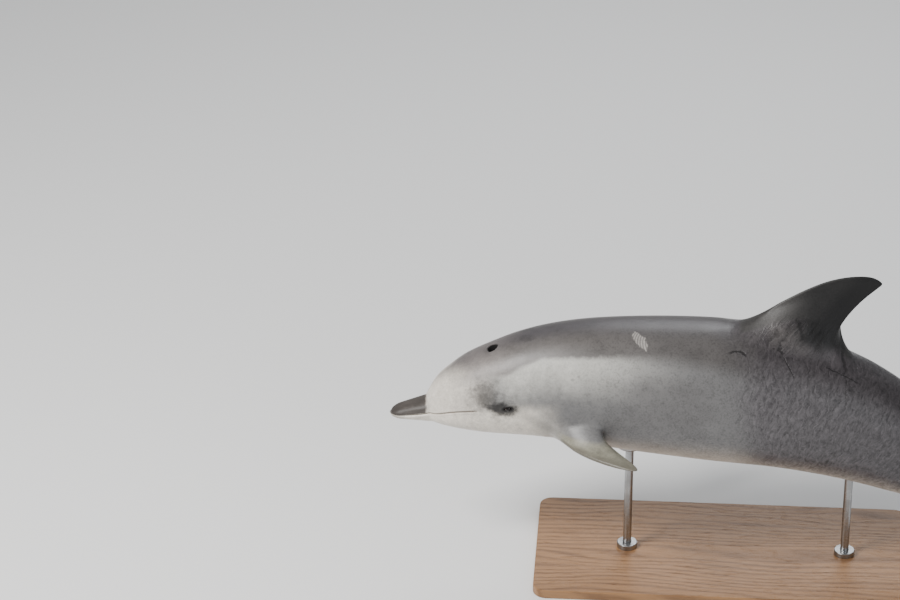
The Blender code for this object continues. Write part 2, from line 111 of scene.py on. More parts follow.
# The band is the strip of columns that runs along the mouth and the eye and makes flippers and flukes
BAND_ANGLE = MOUTH_ANGLE + [(EYE_STATION, EYE_ANGLE), (0.177, -8), (0.2, -27), (0.23, -30), (0.27, -25.5),
                            (0.36, -19), (0.5, -12), (0.7, -2), (0.9, 0), (1, 0)]
BAND_HALF_ANGLE = [(0, 12), (0.05, 12), (0.11, 14), (0.15, 16), (0.2, 20), (0.28, 20), (0.5, 18), (0.8, 22),
                   (0.9, 30), (1, 35)]
BACK_ANGLE = [(0, 60), (0.05, 60), (0.12, 66), (0.2, 68), (0.4, 70), (0.6, 70), (0.8, 64), (1, 60)]


def spline(x, knots):
    """Natural cubic through the knots, held level beyond its ends."""
    knots = np.array(knots, float)
    knot_x, knot_y = knots[:, 0], knots[:, 1]
    width = np.diff(knot_x)
    inner = np.arange(1, len(knots) - 1)
    system = np.eye(len(knots))
    system[inner, inner - 1] = width[:-1]
    system[inner, inner] = 2 * (width[:-1] + width[1:])
    system[inner, inner + 1] = width[1:]
    target = np.zeros(len(knots))
    target[1:-1] = 6 * np.diff(np.diff(knot_y) / width)
    bend = np.linalg.solve(system, target)
    x = np.clip(np.asarray(x, float), knot_x[0], knot_x[-1])
    left = np.clip(np.searchsorted(knot_x, x) - 1, 0, len(knots) - 2)
    h = width[left]
    before, after = knot_x[left + 1] - x, x - knot_x[left]
    curve = (bend[left] * before**3 + bend[left + 1] * after**3) / (6 * h)
    return (curve + (knot_y[left] / h - bend[left] * h / 6) * before
            + (knot_y[left + 1] / h - bend[left + 1] * h / 6) * after)


def ramp(x, start, end):
    """0 before start, 1 after end, and 3 t^2 - 2 t^3 between them."""
    t = np.clip((x - start) / (end - start), 0, 1)
    return t * t * (3 - 2 * t)


def bell(x, width):
    """exp(-(x / width)^2): 1 at 0 and near 0 beyond two widths."""
    return np.exp(-(x / width) ** 2)


def smooth_max(a, b, width):
    """The larger of two numbers, rounded off where they are within width of each other."""
    h = np.clip(0.5 + 0.5 * (a - b) / width, 0, 1)
    return b + (a - b) * h + width * h * (1 - h)


def superellipse(angle, half_width, half_height, power, blunt=0.0):
    """Radius at an angle of |x / half_width|^power + |y / half_height|^power = 1.

    A blunt above 0 adds to the squared cosine, which rounds the edge off at the top and the bottom.
    """
    across = (np.sqrt(np.cos(angle) ** 2 + blunt) / half_width) ** power
    upright = np.abs(np.sin(angle) / half_height) ** power
    return (across + upright) ** (-1 / power)


def added_up(steps):
    """Sums of the first 0, 1, 2 ... steps."""
    return np.concatenate([[0], np.cumsum(steps)])


def trace_spine():
    """Stations with the slope, x and z of the spine there: the slopes' cosines and sines added up."""
    station = np.linspace(0, 1.02, 2041)
    slope = np.radians(spline(station, SPINE_SLOPE))
    middle = (slope[1:] + slope[:-1]) / 2
    x = added_up(np.cos(middle) * np.diff(station)) * LENGTH
    z = added_up(np.sin(middle) * np.diff(station)) * LENGTH
    x -= np.interp(STAND_STATION, station, x)
    z += SPINE_HEIGHT - np.interp(STAND_STATION, station, z)
    return station, slope, x, z


SPINE = trace_spine()


def spine_frame(station):
    """Centre of the section at a station, and the direction there away from the belly."""
    slope, x, z = [np.interp(station, SPINE[0], values) for values in SPINE[1:]]
    return np.stack([x, 0 * x, z], -1), np.stack([-np.sin(slope), 0 * x, np.cos(slope)], -1)


def rounded_tip(distance, length):
    """Grows from 0 to 1 along a quarter of an ellipse."""
    return np.sqrt(np.clip(1 - (1 - np.clip(distance / length, 0, 1)) ** 2, 0, 1)) + 1e-3


def behind_melon_front(station, knots):
    """Spline in the root of the distance behind the melon's front, so that it starts upright."""
    rooted = [(math.sqrt(knot[0] - MELON_START), knot[1]) for knot in knots]
    return spline(np.sqrt(np.maximum(station - MELON_START, 0)), rooted) * (station > MELON_START) + 1e-4


def section_column(station, head, column):
    """A size of the head up to station 0.12, turning into the body's size from there to 0.15."""
    trunk = spline(station, [(row[0], row[column]) for row in BODY_SECTIONS])
    return head + (trunk - head) * ramp(station, 0.12, 0.15)


def relief(station, angle, radius):
    """Height of the small forms over the plain body: lips, lids, belly slits and slow waves.

    Each is a bell or ramp of the distance along the body and round it, both in metres.
    """
    mouth = (angle - np.radians(spline(station, MOUTH_ANGLE))) * radius
    closed = (1 - ramp(station, MOUTH_END - 0.006, MOUTH_END + 0.001)) * ramp(station, 0.0, 0.004)
    lips = closed * (0.0013 * bell(np.abs(mouth) - 0.0065, 0.004) - 0.0036 * bell(mouth, 0.0021))
    corner = -0.0022 * bell((station - MOUTH_END) * LENGTH, 0.007) * bell(mouth, 0.006)

    along = (station - EYE_STATION) * LENGTH
    up = (angle - math.radians(EYE_ANGLE)) * radius
    edge = np.abs(up) - EYE_OPENING[1] * (1 - (along / EYE_OPENING[0]) ** 2)
    brow = 0.0022 * bell(np.hypot(along * 0.75, up), 0.016) + 0.0011 * bell(edge - 0.0016, 0.0020)
    fold = -0.0009 * bell(edge - 0.0068, 0.0016) * bell(along, 0.020)
    socket = -0.0070 * ramp(-edge, -0.0004, 0.0014)
    lids = brow + fold * ramp(up, -0.004, 0.004) + 0.5 * fold * ramp(-up, -0.004, 0.004) + socket

    across = (angle + math.pi / 2) * radius
    navel = -0.0030 * bell((station - 0.455) * LENGTH, 0.012) * bell(across, 0.006)
    slit = -0.0035 * ramp(station, 0.612, 0.622) * (1 - ramp(station, 0.655, 0.667)) * bell(across, 0.005)
    waves = (0.0010 * np.sin(41 * station + 2.3 * angle) * np.sin(3.1 * angle + 9 * station)
             * ramp(station, 0.16, 0.26) * (1 - ramp(station, 0.8, 0.92)))
    return lips + corner + lids + navel + slit + waves


def plain_radius(station, angle):
    """Distance from the spine to the skin in metres, without its relief: ovals of beak, head and belly."""
    inside_head = 1 - 0.999 * ramp(station, 0.08, 0.20)
    tip = rounded_tip(station, BEAK_TIP_LENGTH) * inside_head
    upper_tip = rounded_tip(station - UPPER_JAW_SETBACK, BEAK_TIP_LENGTH - UPPER_JAW_SETBACK) * inside_head
    beak_width = np.interp(station, (0, BEAK_END), BEAK_HALF_WIDTH) * tip
    beak_height = np.interp(station, (0, BEAK_END), UPPER_JAW_HEIGHT) * upper_tip
    jaw_depth = np.interp(station, (0, BEAK_END), LOWER_JAW_DEPTH) * tip
    head_width = section_column(station, behind_melon_front(station, CHEEK_HALF_WIDTH), 3)
    head_height = section_column(station, behind_melon_front(station, MELON_HEIGHT), 1)
    throat = section_column(station, spline(station, THROAT_DEPTH), 2)
    depth = np.where(station < BEAK_END, jaw_depth, throat)

    keel = ramp(station, 0.6, 0.8)
    on_head = ramp(station, MELON_START - 0.001, MELON_START + 0.003)
    beak = superellipse(angle, beak_width, beak_height, 2.5)
    head = superellipse(angle, head_width, head_height, 2.15 - 0.40 * keel, KEEL_BLUNTNESS * keel)
    above = beak + on_head * (smooth_max(beak, head, CREASE_BLEND) - beak)
    above = above - CREASE_DEPTH * on_head * bell(beak - head, CREASE_HALF_WIDTH)
    width = beak_width + on_head * (smooth_max(beak_width, head_width, CREASE_BLEND) - beak_width)
    belly_power = 2.45 - 0.25 * ramp(station, 0.05, 0.15) - 0.45 * keel
    below = superellipse(angle, width, depth, belly_power, KEEL_BLUNTNESS * keel)
    return np.where(angle >= 0, above, below) * LENGTH


def skin_points(station, angle):
    """Points on the right flank: spine + radius * (sin angle upward + cos angle sideways)."""
    centre, upward = spine_frame(station)
    spread = np.broadcast_to(station[:, None], angle.shape)
    radius = plain_radius(spread, angle)
    radius = radius + relief(spread, angle, radius)
    points = centre[:, None] + upward[:, None] * (radius * np.sin(angle))[..., None]
    points[..., 1] = radius * np.cos(angle)
    return points


def ring_stations():
    """Stations of the rings: equal turns round the beak's tip, then 1 / spacing added up."""
    turn = np.linspace(0.05, math.pi / 2, TIP_RINGS, endpoint=False)
    fine = np.linspace(BEAK_TIP_LENGTH, 1.0, 20001)
    per_step = np.diff(fine) * LENGTH * 1000 / np.interp(fine[1:], *np.transpose(RING_SPACING))
    count = added_up(per_step)
    rest = np.interp(np.linspace(0, count[-1], round(count[-1])), count, fine)
    return np.concatenate([BEAK_TIP_LENGTH * (1 - np.cos(turn)), rest])


def ring_angles(station):
    """Angles of the columns: crowded to the belly's and back's middle and, on the head, to the band's.

    Round the eye, the fourth column on each side of the band's middle runs along the lid's edge.
    """
    quarter = math.pi / 2
    eye = math.radians(EYE_ANGLE)
    along = np.abs(station - EYE_STATION)[:, None] * LENGTH
    near_eye = 1 - ramp(along, 1.5 * EYE_OPENING[0], 2.8 * EYE_OPENING[0])
    middle = np.radians(spline(station, BAND_ANGLE))[:, None]
    middle = middle + near_eye * (eye - middle)
    half = np.radians(spline(station, BAND_HALF_ANGLE))[:, None]
    shoulder = np.radians(spline(station, BACK_ANGLE))[:, None]
    steps = np.arange(BAND_STEPS + 1)[None]
    crowding = 1.6 - 0.6 * ramp(station, 0.165, 0.200)[:, None]
    lid = np.maximum(EYE_OPENING[1] * (1 - (along / EYE_OPENING[0]) ** 2), 0.0007)
    lid = lid / plain_radius(EYE_STATION, np.array(eye))
    outside = np.clip(steps - LID_STEPS, 0, None) / (BAND_STEPS - LID_STEPS)
    by_lid = lid * np.minimum(steps / LID_STEPS, 1) + (half - lid) * outside**1.8
    offset = half * (steps / BAND_STEPS) ** crowding
    offset = offset + near_eye * (by_lid - offset)
    belly = np.arange(BELLY_STEPS)[None] / BELLY_STEPS
    flank = np.arange(FLANK_STEPS)[None] / FLANK_STEPS
    back = np.arange(BACK_STEPS + 1)[None] / BACK_STEPS
    return np.concatenate([
        (middle - half + quarter) * belly**1.35 - quarter,
        middle - offset[:, :0:-1],
        middle + offset[:, :-1],
        middle + half + (shoulder - middle - half) * flank,
        quarter - (quarter - shoulder) * (1 - back) ** 1.25], 1)


station = ring_stations()
angle = ring_angles(station)
skin = skin_points(station, angle)
BAND = BELLY_STEPS + BAND_STEPS  # the band's middle column
BACK = angle.shape[1] - 1  # the back's middle column

# Fin outlines from the root's front end round the tip to its rear end: chordwise, spanwise
DORSAL_STATIONS = (0.413, 0.545)
DORSAL_THICKNESS = 0.105  # of its sections, as a share of the chord
DORSAL_ROOT_ANGLE = 0.10  # half the angle that its root takes up on the body, in radians
DORSAL_OUTLINE = [(0, 0), (0.0416, 0.0452), (0.0910, 0.0922), (0.1290, 0.1102), (0.1455, 0.1112),
                  (0.1540, 0.1066), (0.1462, 0.0985), (0.1262, 0.0780), (0.1206, 0.0540), (0.1234, 0.0350),
                  (0.1315, 0.0200), (0.1523, 0)]
FLIPPER_STATIONS = (0.203, 0.265)
FLIPPER_THICKNESS = 0.15
FLIPPER_ROOT_ANGLE = math.radians(9)
FLIPPER_OUTLINE = [(0, 0), (0.0345, 0.0355), (0.0840, 0.0635), (0.1190, 0.0715), (0.1192, 0.0660),
                   (0.0905, 0.0335), (0.0620, 0)]
FLIPPER_DROOP = 1.0  # degrees below the horizontal
FLUKE_STATIONS = (0.920, 1.0)
FLUKE_THICKNESS = 0.095
FLUKE_ROOT_ANGLE = math.radians(16)
FLUKE_OUTLINE = [(0, 0.0105), (0.027, 0.0470), (0.070, 0.0955), (0.0965, 0.1165), (0.0965, 0.1095),
                 (0.083, 0.058), (0.0850, 0.014), (0.0790, 0.0001)]
FIN_EDGE = 0.0019  # least half thickness, at the trailing edges
FIN_GROWTH = 0.035  # a ring takes the fin's shape where it reaches out past this
FLARE_REACH = 0.032  # metres up a fin over which its root's flare fades
ROOT_STEPS = 5  # of a fin's columns, how many stay on the body
ROOT_PASSES = 260  # that soften a fin's root
UP, SIDE, MIRROR = np.array([0, 0, 1.0]), np.array([0, 1.0, 0]), np.array([1.0, -1.0, 1.0])


def outline_curve(points):
    """Spline through an outline's points, spaced by the root of the distance between them."""
    points = np.array(points, float)
    stride = np.sqrt(np.linalg.norm(np.diff(points, axis=0), axis=1))
    along = added_up(stride) / stride.sum()
    at = np.linspace(0, 1, 1201)
    return np.stack([spline(at, np.stack([along, points[:, axis]], 1)) for axis in (0, 1)], 1)


def rim_points(curve, count):
    """Points along an outline by even length, but three times closer round the tip."""
    length = added_up(np.linalg.norm(np.diff(curve, axis=0), axis=1))
    length /= length[-1]
    tip = length[np.argmax(curve[:, 0] / 2 + curve[:, 1])]
    crowd = 1 + 2 * bell(length - tip, 0.05)
    march = added_up((crowd[1:] + crowd[:-1]) / 2 * np.diff(length))
    at = np.interp(np.linspace(0, march[-1], count), march, length)
    return np.stack([np.interp(at, length, curve[:, axis]) for axis in (0, 1)], 1)


def wing_half_thickness(x):
    """Half thickness of a symmetric wing section, blunt in front and tapering behind."""
    x = np.clip(x, 0, 1)
    return 5 * (0.2969 * np.sqrt(x) - 0.1260 * x - 0.3516 * x**2 + 0.2843 * x**3 - 0.1036 * x**4)


def unit(vector):
    """The vector drawn out or in to a length of 1."""
    return vector / np.linalg.norm(vector)


def fin_half_thickness(x, y, curve, share):
    """Half thickness at a chordwise and a spanwise place: a wing section between the outline's edges."""
    tip = int(np.argmax(curve[:, 1]))
    leading = np.interp(y, curve[:tip + 1, 1], curve[:tip + 1, 0])
    trailing = np.interp(y, curve[tip:][::-1, 1], curve[tip:][::-1, 0])
    chord = np.maximum(trailing - leading, 1e-5)
    return np.maximum(share * chord * wing_half_thickness((x - leading) / chord), FIN_EDGE)


def relax(first, last, middle, width, times, lead=10):
    """Moves points towards the mean of their four neighbours, which rounds off a fin's root.

    The share falls off as a bell across the columns and as a ramp over lead rows at either end. Past
    the belly's and the back's middle columns the neighbour is the mirror image of the one before.
    """
    rows = np.arange(first - lead, min(last + lead, len(station) - 3) + 1)
    inside = ramp(rows, rows[0] - 1, rows[0] + lead)
    inside = np.minimum(inside, 1 - ramp(rows, rows[-1] - lead, rows[-1] + 1))
    share = (0.6 * inside[:, None] * bell(np.arange(BACK + 1) - middle, width)[None])[..., None]
    for _ in range(times):
        near = skin[rows[0] - 1:rows[-1] + 2]
        wide = np.concatenate([near[:, 1:2] * MIRROR, near, near[:, -2:-1] * MIRROR], 1)
        mean = (wide[:-2, 1:-1] + wide[2:, 1:-1] + wide[1:-1, :-2] + wide[1:-1, 2:]) / 4
        skin[rows] += share * (mean - skin[rows])


def rows_between(stations):
    """Numbers of the rings from one station to another."""
    return np.flatnonzero((station >= stations[0]) & (station <= stations[1]))


def draw_fin(rows, middle, steps, ends, spanwise, outline, root_angle, thickness, softness=3):
    """Draws a fin out of the columns within some steps of a middle one, which becomes the fin's rim.

    The outline's chord lies between the ends. Beyond the root a point is root + (rim - root) f, with
    f = 1 - (1 - k / n)^2, and stands off the fin's plane by a wing's half thickness, rounded at the
    rim, and at the root by a flare that fades up the fin. Gives f, which is 0 on the body.
    """
    front, rear = ends
    chordwise = unit(rear - front)
    spanwise = unit(spanwise - chordwise * (spanwise @ chordwise))
    curve = outline_curve(outline) * np.linalg.norm(rear - front) / outline[-1][0]
    rim = rim_points(curve, len(rows)) @ np.stack([chordwise, spanwise]) + front
    root = plain[rows, middle]
    reach = np.linalg.norm(rim - root, axis=1)[:, None]
    grown = 1 - bell(reach, FIN_GROWTH)
    share = np.arange(steps + 1) / ROOT_STEPS
    f = 1 - (1 - np.arange(1, steps - ROOT_STEPS + 1) / (steps - ROOT_STEPS)) ** 2
    flat = root[:, None] + (rim - root)[:, None] * f[:, None]
    half = fin_half_thickness((flat - front) @ chordwise, (flat - front) @ spanwise, curve, thickness)
    half = half * rounded_tip((1 - f) * reach, 2.5 * FIN_EDGE)
    fading = np.exp(-f * reach / FLARE_REACH) * np.sqrt(1 - f**2)
    blade = np.zeros(angle.shape)
    sides = (-1,) if middle == BACK else (-1, 1)
    for side in sides:
        normal = side * np.cross(chordwise, spanwise)
        columns = middle + side * np.arange(steps, -1, -1)
        even = angle[rows][:, columns]
        near = even[:, -1:] + side * root_angle
        tight = even[:, :1] + (near - even[:, :1]) * np.minimum(share, 1)
        tight = tight + (even[:, -1:] - near) * np.clip(share - 1, 0, None) / share[-1]
        face = skin_points(station[rows], even + grown * (tight - even))
        join = np.abs((face[:, ROOT_STEPS] - root) @ normal)[:, None]
        blown = flat + np.hypot(half, join * fading)[..., None] * normal
        face[:, ROOT_STEPS + 1:] += grown[..., None] * (blown - face[:, ROOT_STEPS + 1:])
        skin[np.ix_(rows, columns)] = face
        blade[np.ix_(rows, columns[ROOT_STEPS + 1:])] = grown * f
    skin[:, BACK, 1] = 0
    for side in sides:
        relax(rows[0], rows[-1], middle + side * (steps - ROOT_STEPS), softness, ROOT_PASSES)
    return blade


plain = skin.copy()

# Dorsal fin: upright, out of the back's middle column
rows = rows_between(DORSAL_STATIONS)
dorsal = draw_fin(rows, BACK, BACK_STEPS, plain[rows[[0, -1]], BACK], UP,
                  DORSAL_OUTLINE, DORSAL_ROOT_ANGLE, DORSAL_THICKNESS)
relax(rows[0], rows[6], BACK, 7, 120, lead=8)
relax(rows[-6], rows[-1], BACK, 7, 60, lead=8)

# Flippers: a little below the horizontal, out of the band's middle column
rows = rows_between(FLIPPER_STATIONS)
droop = math.radians(FLIPPER_DROOP)
outward = np.array([0, math.cos(droop), -math.sin(droop)])
flipper = draw_fin(rows, BAND, BAND_STEPS, plain[rows[[0, -1]], BAND], outward,
                   FLIPPER_OUTLINE, FLIPPER_ROOT_ANGLE, FLIPPER_THICKNESS)
relax(rows[0], rows[4], BAND, 9, 60, lead=6)

# Flukes: flat, out of the same band where the tail stock ends
rows = rows_between(FLUKE_STATIONS)
fluke = draw_fin(rows, BAND, BAND_STEPS, spine_frame(station[rows[[0, -1]]])[0], SIDE,
                 FLUKE_OUTLINE, FLUKE_ROOT_ANGLE, FLUKE_THICKNESS, softness=4)
relax(rows[0], rows[6], BAND, 8, 400, lead=9)
keel = rows_between((0.60, 0.985))
relax(keel[0], keel[-1], BACK, 4, 60)
relax(keel[0], keel[-1], 0, 3, 60)


def press(start, end, width, depth):
    """Draws a groove that fades at its ends along a line given by x and z, seen from the side.

    Points move towards the middle by a bell of their distance to the line.
    """
    run = np.subtract(end, start)
    away = skin[..., [0, 2]] - start
    along = np.clip(away @ run / (run @ run), 0, 1)
    distance = np.linalg.norm(away - along[..., None] * run, axis=-1)
    fade = 4 * along * (1 - along) * ramp(skin[..., 1], 0.002, 0.012)
    skin[..., 1] -= depth * fade * bell(distance, width)


# Folds of skin at the dorsal fin's foot
press((0.208, 0.945), (0.236, 0.862), 0.0060, 0.0030)
press((0.236, 0.965), (0.278, 0.835), 0.0075, 0.0045)
press((0.262, 0.935), (0.296, 0.842), 0.0050, 0.0020)
press((0.352, 0.840), (0.372, 0.765), 0.0060, 0.0040)


def put_mesh(name, points, faces, **fields):
    """An object at the origin from an array of points and arrays of corner numbers, with its fields."""
    corners = np.concatenate([np.asarray(block).ravel() for block in faces])
    sizes = np.concatenate([np.full(len(block), np.shape(block)[1]) for block in faces])
    mesh = bpy.data.meshes.new(name)
    mesh.vertices.add(len(points))
    mesh.vertices.foreach_set("co", np.asarray(points, np.float32).ravel())
    mesh.loops.add(len(corners))
    mesh.loops.foreach_set("vertex_index", corners.astype(np.int32))
    mesh.polygons.add(len(sizes))
    mesh.polygons.foreach_set("loop_start", added_up(sizes)[:-1].astype(np.int32))
    mesh.update(calc_edges=True)
    mesh.shade_smooth()
    for field, values in fields.items():
        layer = mesh.attributes.new(field, "FLOAT", "POINT")
        layer.data.foreach_set("value", np.asarray(values, np.float32).ravel())
    thing = bpy.data.objects.new(name, mesh)
    bpy.context.scene.collection.objects.link(thing)
    return thing


def both_halves(values, mirror=1):
    """Rings of the right half followed by the left half's columns from the back down to the belly."""
    return np.concatenate([values, values[:, -2:0:-1] * mirror], 1)


def ring_quads(count, rings, around):
    """Quads from each of the first count rings to the next one. Past the last ring comes the first."""
    ring, k = np.meshgrid(np.arange(count), np.arange(around), indexing="ij")
    near, far, beside = ring * around, (ring + 1) % rings * around, (k + 1) % around
    return np.stack([near + k, near + beside, far + beside, far + k], -1).reshape(-1, 4)


def tube_faces(rings, around):
    """Quads between neighbouring rings, and triangles from each end ring to a pole after the rings."""
    k = np.arange(around)
    after, pole, last = (k + 1) % around, rings * around, (rings - 1) * around
    front = np.stack([after, k, 0 * k + pole], 1)
    rear = np.stack([last + k, last + after, 0 * k + pole + 1], 1)
    return [ring_quads(rings - 1, rings, around), front, rear]


def unroll(thing, points):
    """Map of a tube of rings: u runs round it and v along it, shared out by the mean size of the cells."""
    rings, around = points.shape[:2]
    wide = np.linalg.norm(np.roll(points, -1, 1) - points, axis=2).mean(0)
    tall = np.linalg.norm(points[1:] - points[:-1], axis=2).mean(1)
    u = added_up(wide) / wide.sum()
    v = 0.01 + 0.98 * added_up(tall) / tall.sum()
    ring, k = np.meshgrid(np.arange(rings - 1), np.arange(around), indexing="ij")
    quads = [[u[k], v[ring]], [u[k + 1], v[ring]], [u[k + 1], v[ring + 1]], [u[k], v[ring + 1]]]
    k = np.arange(around)
    middle, end = (u[k] + u[k + 1]) / 2, np.ones(around)
    front = [[u[k + 1], 0.01 * end], [u[k], 0.01 * end], [middle, 0 * end]]
    rear = [[u[k], 0.99 * end], [u[k + 1], 0.99 * end], [middle, end]]
    blocks = [np.moveaxis(np.array(block), (0, 1), (-2, -1)) for block in (quads, front, rear)]
    layer = thing.data.uv_layers.new(name="OFBake")
    layer.data.foreach_set("uv", np.concatenate([block.ravel() for block in blocks]).astype(np.float32))


whole = both_halves(skin, MIRROR)
rings, around = whole.shape[:2]

# Blowhole: a moon-shaped pit with a raised rim, pressed in towards the spine. The oval is 0 in its
# middle, 1 on its rim, and FAR_OFF well away from it.
FAR_OFF = 9
along = (station[:, None] - BLOWHOLE_STATION) * LENGTH
across = whole[..., 1] - BLOWHOLE_SIDE
oval = np.hypot((along + 9 * across**2) / BLOWHOLE_HALF[0], across / BLOWHOLE_HALF[1])
oval = np.where(both_halves(angle) > 1, np.minimum(oval, FAR_OFF), FAR_OFF)
height = BLOWHOLE_RIM * bell(oval - 1.2, 0.22) - BLOWHOLE_DEPTH * (1 - ramp(oval, 0.2, 1.0))
out = whole - spine_frame(station)[0][:, None]
whole = whole + out / np.linalg.norm(out, axis=-1)[..., None] * height[..., None]
poles = np.stack([whole[0].mean(0), whole[-1].mean(0)])

# Fields that the hide's markings follow. The dark cape's lower edge is a list of stations and angles
CAPE_EDGE = [(0.10, 65), (0.14, 52.7), (0.165, 51.7), (0.19, 57.6), (0.22, 57.5), (0.29, 55.7),
             (0.38, 50.8), (0.46, 45.2), (0.55, 38), (0.65, 28), (0.80, 12), (1.0, 0)]
fields = {
    "station": np.broadcast_to(station[:, None], angle.shape),
    "angle": np.degrees(angle),
    "over_cape": np.degrees(angle) - spline(station, CAPE_EDGE)[:, None],
    "over_mouth": np.degrees(angle) - spline(station, MOUTH_ANGLE)[:, None],
    "dorsal": dorsal,
    "flipper": flipper,
    "fluke": fluke,
}
for name, values in fields.items():
    at_poles = [values[0, BAND], values[-1, BAND]]
    fields[name] = np.append(both_halves(values), at_poles)
fields["blowhole"] = np.append(oval, [FAR_OFF, FAR_OFF])
grid = np.concatenate([whole.reshape(-1, 3), poles])
hide = put_mesh("dolphin_skin", grid, tube_faces(rings, around), **fields)
unroll(hide, whole)
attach(hide, "root")
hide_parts("beak_upper", "melon", "jaw_lower", "head", "neck", "chest", "trunk_front", "trunk_middle",
            "trunk_rear", "tail_stock_front", "tail_stock_rear", "tail_end", "dorsal_fin", "flipper_left",
            "flipper_right", "fluke_left", "fluke_right")


def maths(operation, swapped=False):
    """A method that adds a Math node. Swapped, it takes the value itself last, as 1 - mask needs."""
    return lambda self, *others: self.math(operation, *((*others, self) if swapped else (self, *others)))


class Value:
    """A number that varies over a surface: arithmetic on it adds Math nodes to its material."""

    def __init__(self, socket):
        self.socket = socket

    def math(self, operation, *values):
        """Adds a Math node on the values."""
        tree = self.socket.id_data
        node = tree.nodes.new("ShaderNodeMath")
        node.operation = operation
        for slot, value in zip(node.inputs, values):
            if isinstance(value, Value):
                tree.links.new(value.socket, slot)
            else:
                slot.default_value = value
        return Value(node.outputs[0])

    __add__ = __radd__ = maths("ADD")
    __sub__, __rsub__ = maths("SUBTRACT"), maths("SUBTRACT", swapped=True)
    __mul__ = __rmul__ = maths("MULTIPLY")
    __truediv__, __pow__, __abs__ = maths("DIVIDE"), maths("POWER"), maths("ABSOLUTE")
    sine, over, under = maths("SINE"), maths("MAXIMUM"), maths("MINIMUM")


def chart(red, green, blue):
    """Linear colour of a chart colour given as three numbers from 0 to 255."""
    share = np.array([red, green, blue]) / 255
    linear = np.where(share <= 0.04045, share / 12.92, ((share + 0.055) / 1.055) ** 2.4)
    return (*(float(part) for part in linear), 1.0)


class Finish:
    """A material under construction: constants on its shader, and nodes added one call at a time."""

    def __init__(self, name, **constants):
        self.material = bpy.data.materials.new(name)
        self.material.use_nodes = True
        self.tree = self.material.node_tree
        self.shader = self.tree.nodes["Principled BSDF"]
        self.tone = None
        self.drive(**constants)

    def node(self, kind, settings, inputs, output=0):
        """Adds a node: its settings come first, then the values or links of its inputs."""
        made = self.tree.nodes.new("ShaderNode" + kind)
        for setting, value in settings.items():
            setattr(made, setting, value)
        for name, value in inputs.items():
            self.set(made.inputs[name], value)
        return Value(made.outputs[output])

    def set(self, slot, value):
        """Links a value to an input, or sets a number or a colour on it."""
        if isinstance(value, Value):
            self.tree.links.new(value.socket, slot)
        else:
            slot.default_value = value

    def drive(self, **values):
        """Gives the shader's inputs, named with _ for a space, their values or links."""
        for name, value in values.items():
            self.set(self.shader.inputs[name.replace("_", " ")], value)

    def field(self, name):
        """What a mesh's points carry under a name."""
        return self.node("Attribute", {"attribute_name": name}, {}, "Fac")

    def place(self):
        """Object coordinates, in metres."""
        return self.node("TexCoord", {}, {}, "Object")

    def step(self, value, start, end):
        """0 before start and 1 after end, or the other way round where end comes first."""
        return self.node("MapRange", {"interpolation_type": "SMOOTHSTEP"},
                         {"Value": value, "From Min": start, "From Max": end})

    def noise(self, where, scale, detail=3.0, roughness=0.55, distortion=0.0):
        """Clouds of values on both sides of 0. A scale can be a tuple, with one for each axis."""
        if isinstance(scale, tuple):
            where = self.node("VectorMath", {"operation": "MULTIPLY"}, {0: where, 1: scale})
            scale = 1.0
        return self.node("TexNoise", {}, {"Vector": where, "Scale": scale, "Detail": detail,
                                          "Roughness": roughness, "Distortion": distortion}) - 0.5

    def mix(self, share, first, second):
        """Colours: first where share is 0, second where it is 1."""
        return self.node("Mix", {"data_type": "RGBA"}, {0: share, 6: first, 7: second}, 2)

    def paint(self, share, colour):
        """Puts a colour over the tone so far, more of it where share is nearer 1."""
        self.tone = self.mix(share, self.tone, colour)

    def bump(self, height):
        """Normal of a surface raised by a height in metres."""
        return self.node("Bump", {}, {"Height": height, "Distance": 1.0, "Strength": 1.0})

    def put_on(self, thing):
        """Gives the material to a new piece, or to the one slot that a CAD node has."""
        if not thing.material_slots:
            thing.data.materials.append(None)
        thing.material_slots[0].link = "OBJECT"
        thing.material_slots[0].material = self.material


# Colours of the hide
BELLY = chart(198, 190, 180)
LOW_FLANK = chart(104, 103, 103)
MID_FLANK = chart(92, 90, 90)
BLAZE = chart(182, 180, 174)
CAPE = chart(93, 89, 87)
CAPE_REAR = chart(79, 76, 75)
BACK_GREY = chart(69, 66, 68)
REAR = chart(58, 54, 56)
REAR_LOW = chart(82, 79, 81)
MELON = chart(200, 193, 183)
FOREHEAD = chart(128, 122, 118)
CROWN = chart(98, 93, 92)
BEAK_TOP = chart(44, 38, 36)
JAW = chart(206, 199, 188)
# Smoky grey of the real marks round eye, brow, flipper stripe and nape, and of the painted shadow in front
# of the blowhole
SMOKE_AND_SHADE = chart(38, 36, 36)
LIP = chart(96, 82, 71)
FLIPPER = chart(128, 125, 112)
FLIPPER_EDGE = chart(84, 79, 70)
FIN_BASE = chart(54, 52, 51)
# Lighter grey of a painted wet sheen at the dorsal fin's foot
FIN_FOOT_SHEEN = chart(84, 80, 79)
FIN_FLANK = chart(29, 28, 28)
FIN_TIP = chart(11, 10, 11)
SCAR = chart(164, 159, 154)
# Near-black of the real scratches and spots, and of the painted shade in the folds at the dorsal fin's foot
SCRATCH_AND_CREASE_SHADE = chart(20, 18, 18)
# Near-black painted shade, in the blowhole's pit and round the eye's sunken rim
PIT_SHADE = chart(8, 6, 6)

coat = Finish("hide", IOR=1.40)
step, paint = coat.step, coat.paint
at = coat.place()
x, y, z = [coat.node("SeparateXYZ", {}, {"Vector": at}, axis) for axis in "XYZ"]
left = step(y, 0.0, -0.01)
s, a, over_cape, over_mouth, on_dorsal, on_flipper, on_fluke, hole = [coat.field(name) for name in fields]
broad = coat.noise(at, 5.0)
cloud = coat.noise(at, 16.0, 4.0, 0.6)
mottle = coat.noise(at, 55.0, 4.0, 0.65)
speck = coat.noise(at, 150.0, 3.0, 0.6)
grain = coat.noise(at, 480.0, 2.0)
ripple = 0.55 * cloud + 0.45 * mottle


